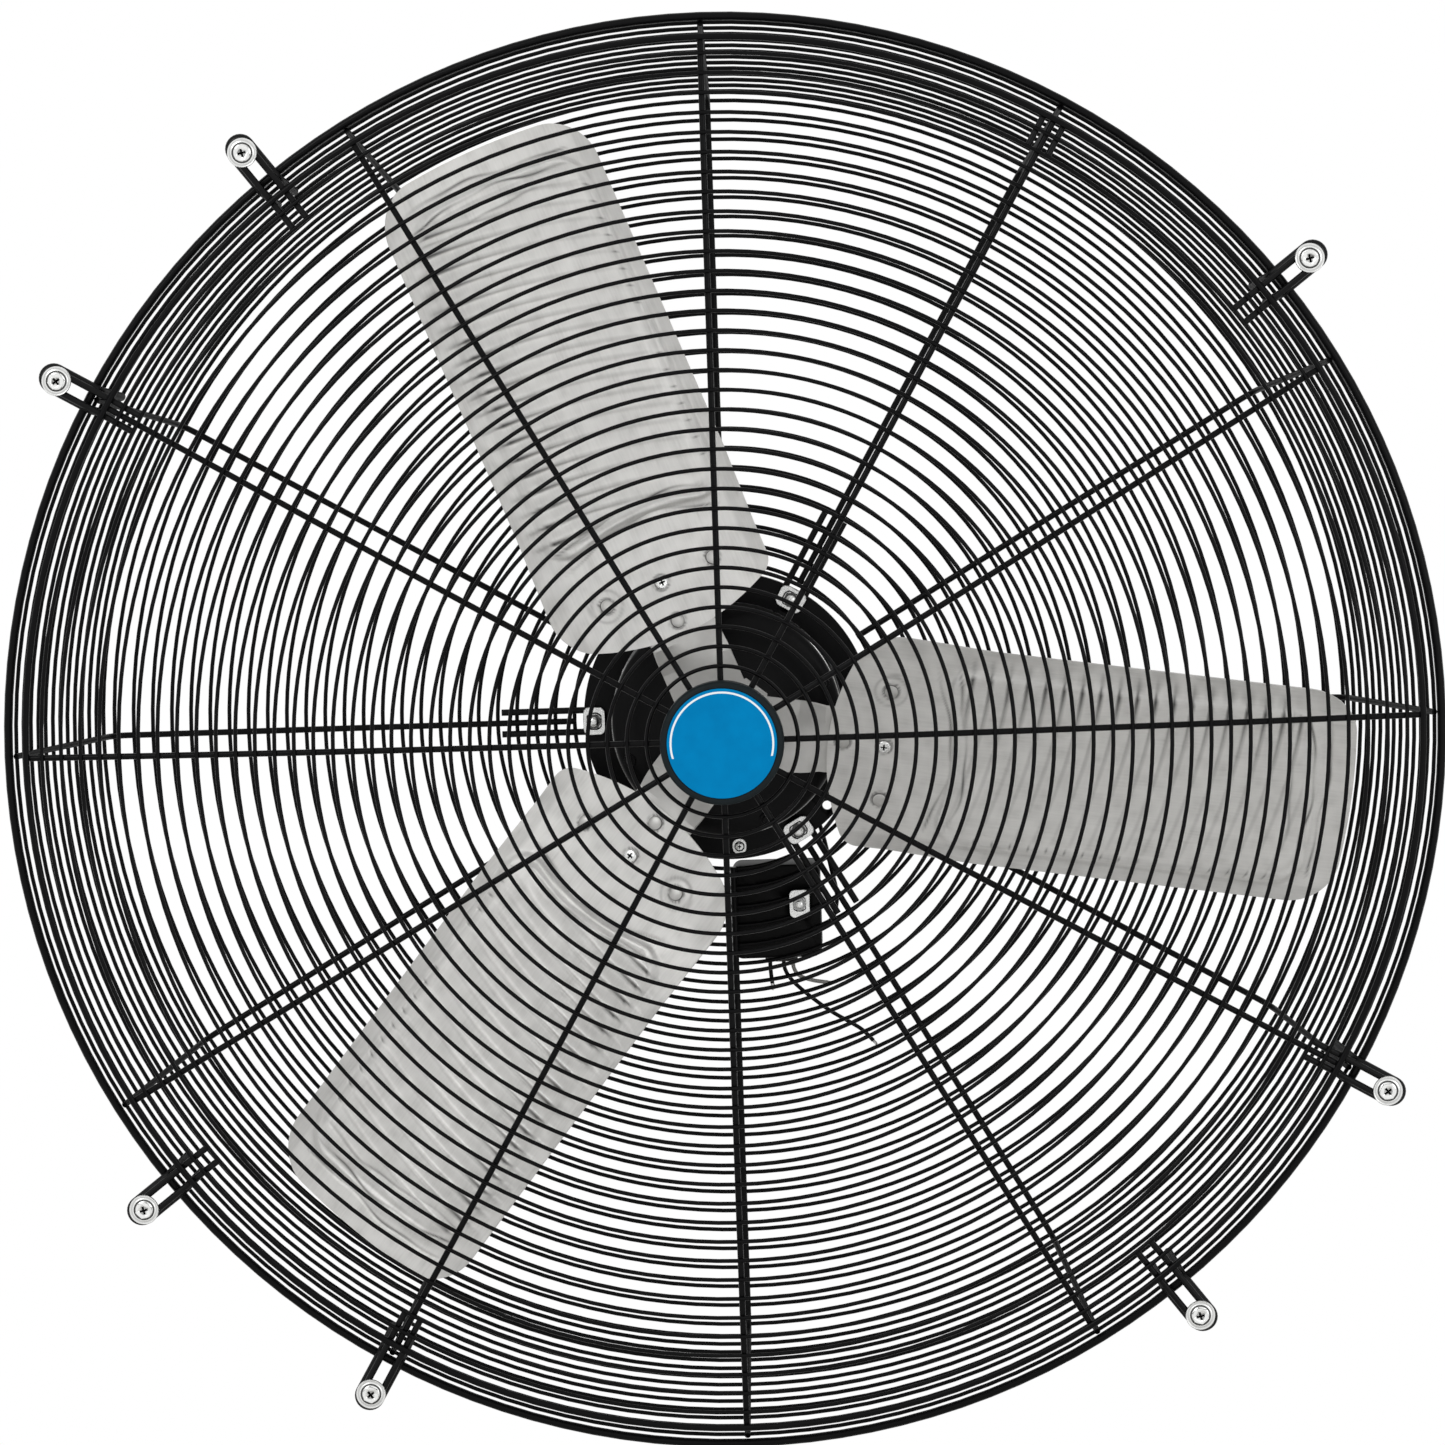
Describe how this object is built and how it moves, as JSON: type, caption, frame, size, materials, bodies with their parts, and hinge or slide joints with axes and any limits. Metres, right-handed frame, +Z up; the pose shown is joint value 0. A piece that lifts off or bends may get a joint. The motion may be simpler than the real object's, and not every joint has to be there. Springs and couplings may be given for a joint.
{
  "type": "exhaust fan",
  "caption": "Wall-mounted exhaust fan: pressed-blade propeller on a motor inside a round wire cage, with a domed front guard, a hub cap and screw loops round the rim.",
  "frame": {"origin": "on the propeller's axis, in the wall plane that the mounting loops are screwed against", "axes": "+Y along the propeller's axis from the room side through the wall towards the motor, +Z up, +X to the right seen from the room"},
  "size_m": [1.0424, 0.2666, 1.0424],
  "materials": {
    "guard_wire": "gloss black coating",
    "loop_wire": "gloss black coating",
    "zinc_fastener": "bright zinc plate",
    "cap_plastic": "satin moulded",
    "badge_blue": "plain blue label",
    "cap_plate_paint": "black coating",
    "motor_paint": "semi-gloss black paint",
    "core_iron": "laminated steel",
    "winding_copper": "varnished copper wire",
    "bearing_steel": "ground steel",
    "shaft_steel": "turned steel",
    "spider_steel": "grey pressed steel",
    "blade_sheet": "galvanised sheet",
    "box_paint": "semi-gloss black paint",
    "grommet_rubber": "black rubber",
    "lead_black": "black wire jacket",
    "lead_pale": "light grey wire jacket"
  },
  "bodies": {
    "frame": {"front_guard": "guard_wire", "rear_guard": "guard_wire", "mount_loop_1": "loop_wire", "mount_loop_2": "loop_wire", "mount_loop_3": "loop_wire", "mount_loop_4": "loop_wire", "mount_loop_5": "loop_wire", "mount_loop_6": "loop_wire", "mount_loop_7": "loop_wire", "wall_washer_1": "zinc_fastener", "wall_washer_2": "zinc_fastener", "wall_washer_3": "zinc_fastener", "wall_washer_4": "zinc_fastener", "wall_washer_5": "zinc_fastener", "wall_washer_6": "zinc_fastener", "wall_washer_7": "zinc_fastener", "wall_screw_1": "zinc_fastener", "wall_screw_2": "zinc_fastener", "wall_screw_3": "zinc_fastener", "wall_screw_4": "zinc_fastener", "wall_screw_5": "zinc_fastener", "wall_screw_6": "zinc_fastener", "wall_screw_7": "zinc_fastener", "hub_cap": "cap_plastic", "hub_badge": "badge_blue", "cap_plate": "cap_plate_paint", "cap_screw": "zinc_fastener", "motor_front_shield": "motor_paint", "motor_rear_shield": "motor_paint", "motor_shell": "motor_paint", "motor_flange": "motor_paint", "stator_core": "core_iron", "stator_winding": "winding_copper", "front_bearing": "bearing_steel", "rear_bearing": "bearing_steel", "motor_hairpin_1": "loop_wire", "motor_hairpin_2": "loop_wire", "motor_hairpin_3": "loop_wire", "lug_washer_1": "zinc_fastener", "lug_washer_2": "zinc_fastener", "lug_washer_3": "zinc_fastener", "lug_bolt_1": "zinc_fastener", "lug_bolt_2": "zinc_fastener", "lug_bolt_3": "zinc_fastener", "junction_box": "box_paint", "box_cover": "box_paint", "box_clamp_washer": "zinc_fastener", "box_clamp_bolt": "zinc_fastener", "lead_grommet": "grommet_rubber", "lead_short": "lead_black", "lead_long": "lead_black", "lead_grey": "lead_pale", "motor_lead": "lead_black"},
    "rotor": {"motor_shaft": "shaft_steel", "rotor_core": "core_iron", "hub_spider": "spider_steel", "hub_set_screw": "shaft_steel", "blade_1": "blade_sheet", "blade_2": "blade_sheet", "blade_3": "blade_sheet"}
  },
  "joints": [
    {"name": "propeller_spin", "type": "hinge", "parent": "frame", "child": "rotor", "pos_m": [0, 0.05, 0], "axis": [0, 1, 0], "continuous": true}
  ]
}
